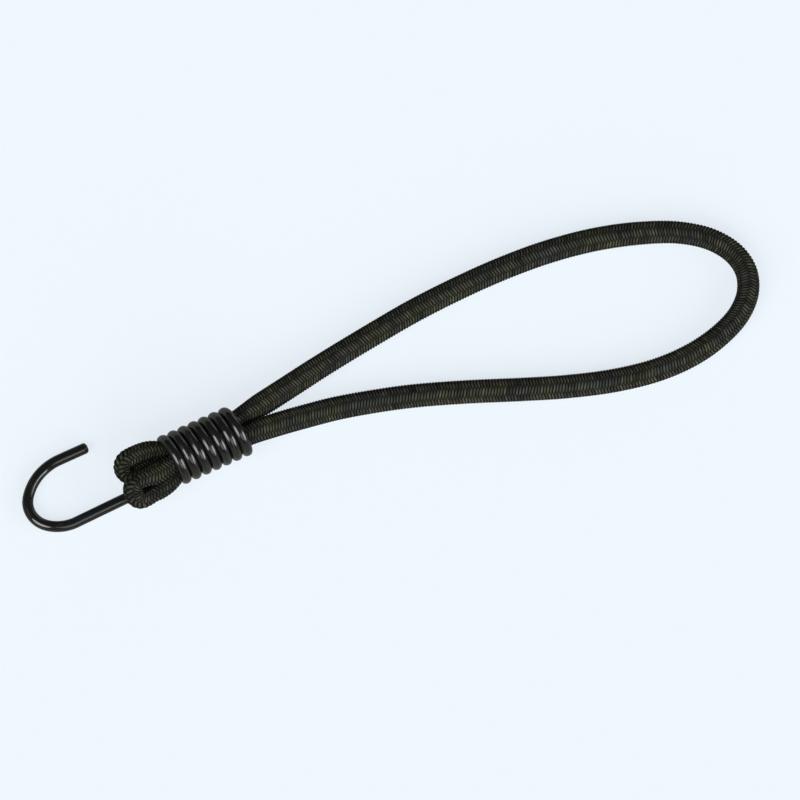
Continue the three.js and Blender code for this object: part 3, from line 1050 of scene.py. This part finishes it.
# %% [markdown]
# ## The studio
#
# The photo's two bright lines on every turn of the wire are mirror images of two soft
# lamps: the normal where a line is seen is half way between the camera's direction and
# the lamp's. That gives one large lamp on the left and one on the right, lower and
# further to the front. A sun lamp with a wide angle is a softbox that is far away, and
# its strength follows from how bright it should look in a mirror.
#
# Two weaker lamps stand for reflector boards. The one in front gives the long highlight
# on the shank and the hook's tip, and the one behind a faint light edge on the far side
# of the turns. One more lamp is a fill from low in front. It stands for the light that a
# white table throws back, and makes the near side of the cord lighter than its far side.
# The photo's wire shows no image of it, so mirror-like surfaces don't see this lamp.
#
# The floor is a pale disc with a pale wall round it. The camera sees it mostly as a glow
# of its own colour, which keeps the background even and still lets a soft shadow show.
# Mirror-like and clear surfaces see a weaker glow over a warm grey, because the photo's
# wire stays nearly black up to its rims. To all other light the floor is that grey, so
# that it doesn't fill the object's shaded side.

# %% Floor, backdrop and light
STAGE_RADIUS = 7
STAGE_HEIGHT = 0.9
STAGE_SIDES = 96
PALE = (0.863, 0.930, 0.991)
BOUNCE_GREY = (0.235, 0.23, 0.20)
GLOW_SHARE = 0.8
MIRRORED_GLOW_SHARE = 0.12
SKY_STRENGTH = 0.07
LAMPS = {
    "left_softbox": {"towards": (-0.737, -0.299, 0.609), "angle": 42, "radiance": 6},
    "right_softbox": {"towards": (0.755, -0.573, 0.318), "angle": 40, "radiance": 6.2},
    "front_reflector": {"towards": (0.03, -0.78, 0.62), "angle": 36, "radiance": 1.7},
    "front_fill": {
        "towards": (-0.12, -0.96, 0.25), "angle": 36, "radiance": 7, "mirrored": False,
    },
    "back_reflector": {"towards": (0.80, 0.57, 0.12), "angle": 36, "radiance": 1.1},
}


def make_stage():
    work = bmesh.new()
    bmesh.ops.create_circle(work, cap_ends=True, segments=STAGE_SIDES, radius=STAGE_RADIUS)
    rim = [edge for edge in work.edges if edge.is_boundary]
    wall = bmesh.ops.extrude_edge_only(work, edges=rim)["geom"]
    raised = [item for item in wall if isinstance(item, bmesh.types.BMVert)]
    bmesh.ops.translate(work, verts=raised, vec=(0, 0, STAGE_HEIGHT))
    mesh = bpy.data.meshes.new("floor")
    work.to_mesh(mesh)
    work.free()
    floor = bpy.data.objects.new("floor", mesh)
    bpy.context.scene.collection.objects.link(floor)
    mesh.materials.append(floor_material())


def floor_material():
    material, tree, shader = new_material("pale_floor")
    tree.nodes.remove(shader)
    path = tree.nodes.new("ShaderNodeLightPath").outputs
    matte = tree.nodes.new("ShaderNodeBsdfDiffuse")
    matte_colour = mixed(tree, path["Is Camera Ray"], (*BOUNCE_GREY, 1), (*PALE, 1))
    tree.links.new(matte_colour, matte.inputs["Color"])
    glow = tree.nodes.new("ShaderNodeEmission")
    glow.inputs["Color"].default_value = (*PALE, 1)
    mix = tree.nodes.new("ShaderNodeMixShader")
    mirrored = maths(tree, "MAXIMUM", path["Is Glossy Ray"], path["Is Transmission Ray"])
    mirrored = maths(tree, "MULTIPLY", mirrored, MIRRORED_GLOW_SHARE)
    share = maths(tree, "MULTIPLY_ADD", path["Is Camera Ray"], GLOW_SHARE, mirrored)
    tree.links.new(share, mix.inputs["Fac"])
    tree.links.new(matte.outputs["BSDF"], mix.inputs[1])
    tree.links.new(glow.outputs["Emission"], mix.inputs[2])
    tree.links.new(mix.outputs["Shader"], tree.nodes["Material Output"].inputs["Surface"])
    return material


def make_lamp(name, towards, angle, radiance, mirrored=True):
    """A far softbox: its width as an angle, its brightness as a mirror would show it."""
    data = bpy.data.lights.new(name, "SUN")
    data.angle = math.radians(angle)
    data.energy = radiance * math.pi * math.sin(data.angle / 2) ** 2
    lamp = bpy.data.objects.new(name, data)
    lamp.rotation_mode = "QUATERNION"
    lamp.rotation_quaternion = Vector(towards).to_track_quat("Z", "Y")
    lamp.visible_glossy = mirrored
    bpy.context.scene.collection.objects.link(lamp)
    return data.energy * Vector(towards).normalized().z / math.pi


def make_sky():
    world = bpy.data.worlds.new("studio")
    world.use_nodes = True
    background = world.node_tree.nodes["Background"].inputs
    background["Color"].default_value = (*PALE, 1)
    background["Strength"].default_value = SKY_STRENGTH
    bpy.context.scene.world = world


make_stage()
make_sky()
level = SKY_STRENGTH + sum(make_lamp(name, **lamp) for name, lamp in LAMPS.items())
bpy.context.scene.view_settings.view_transform = "Standard"
print("a white sheet on the table would render at", round(level, 2))

# %% [markdown]
# ## Riding on the construction model
#
# Each piece now gets the body that it moves with. The wire and the two held ends belong
# to the hook. The necks bend between the hook and the legs, so they are blended from one
# to the other along their length, and the loop is blended between its legs and its far
# end, which draws the braid out evenly when the loop is pulled. The rings of points at a
# seam lean with the cord, so each blend keeps a little inside its seam: then both sides of
# the seam move alike. Each piece also hides the plain solids it stands for, and the free
# cord says how long it is.

# %% Bodies, seams and cords
def dressed(stretch_names, kind):
    """Hides the construction model's solids that a piece of cord stands for."""
    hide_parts(*[f"{name}_{kind}" for name in stretch_names])


for kind, pieces in (("cover", covers), ("core", cores)):
    for stretch in ("back_end", "front_end"):
        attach(pieces[stretch], "hook")
        dressed([stretch], kind)
    for stretch in ("back_neck", "front_neck"):
        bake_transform(pieces[stretch])
        dressed([stretch], kind)
    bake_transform(pieces["loop"])
    dressed(["back_leg", "front_leg", "bight"], kind)

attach(wire, "hook")
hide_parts("hook_wire")

# %% The free cords
for stretch in ("back_neck", "loop", "front_neck"):
    first, last = STRETCHES[stretch]
